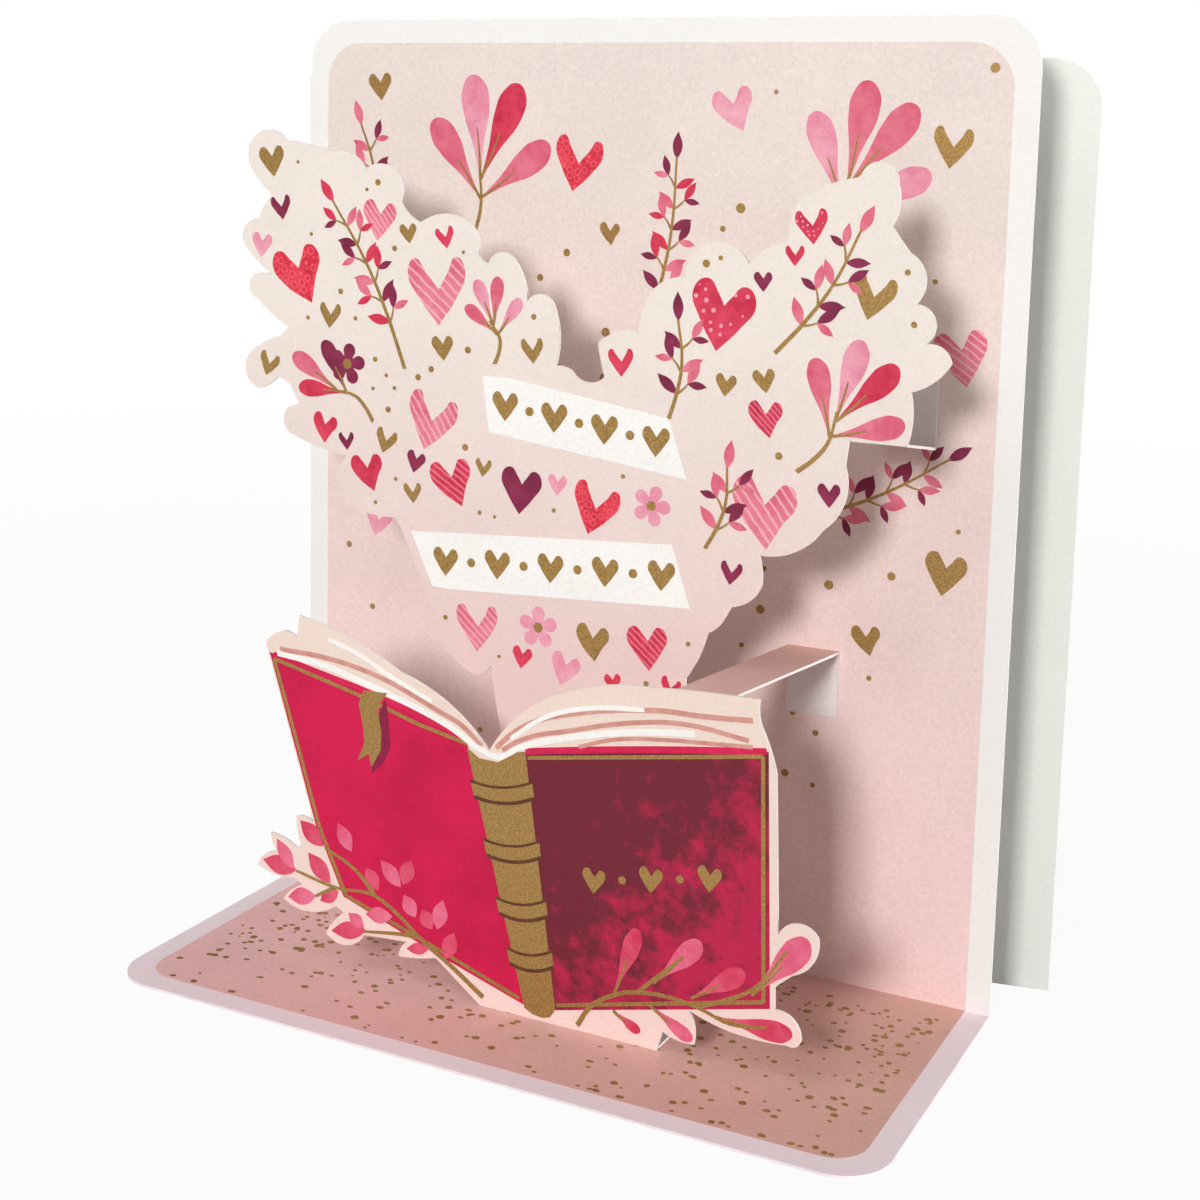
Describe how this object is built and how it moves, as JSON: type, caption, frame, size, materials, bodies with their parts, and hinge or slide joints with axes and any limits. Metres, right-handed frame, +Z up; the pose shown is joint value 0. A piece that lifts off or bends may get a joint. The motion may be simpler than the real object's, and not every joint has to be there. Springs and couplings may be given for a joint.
{
  "type": "pop-up greeting card",
  "caption": "Folded greeting card standing open, with a floor flap, a rear writing panel and two die-cut pop-up panels held off the backdrop by straps.",
  "frame": {"origin": "middle of the floor flap's underside, the face that the card stands on", "axes": "+Z up, +Y from the floor flap towards the backdrop and rear panel, +X along the bottom fold to the card's open side"},
  "size_m": [0.1327, 0.0697, 0.152],
  "materials": {
    "card_board": "uncoated board, printed on its front with a white margin, plain white inside and behind",
    "heart_board": "uncoated board, printed on its front, plain white behind",
    "book_board": "uncoated board, printed on its front, plain white behind"
  },
  "bodies": {
    "root": {"folded_card": "card_board", "heart_panel": "heart_board", "book_panel": "book_board"}
  },
  "joints": []
}
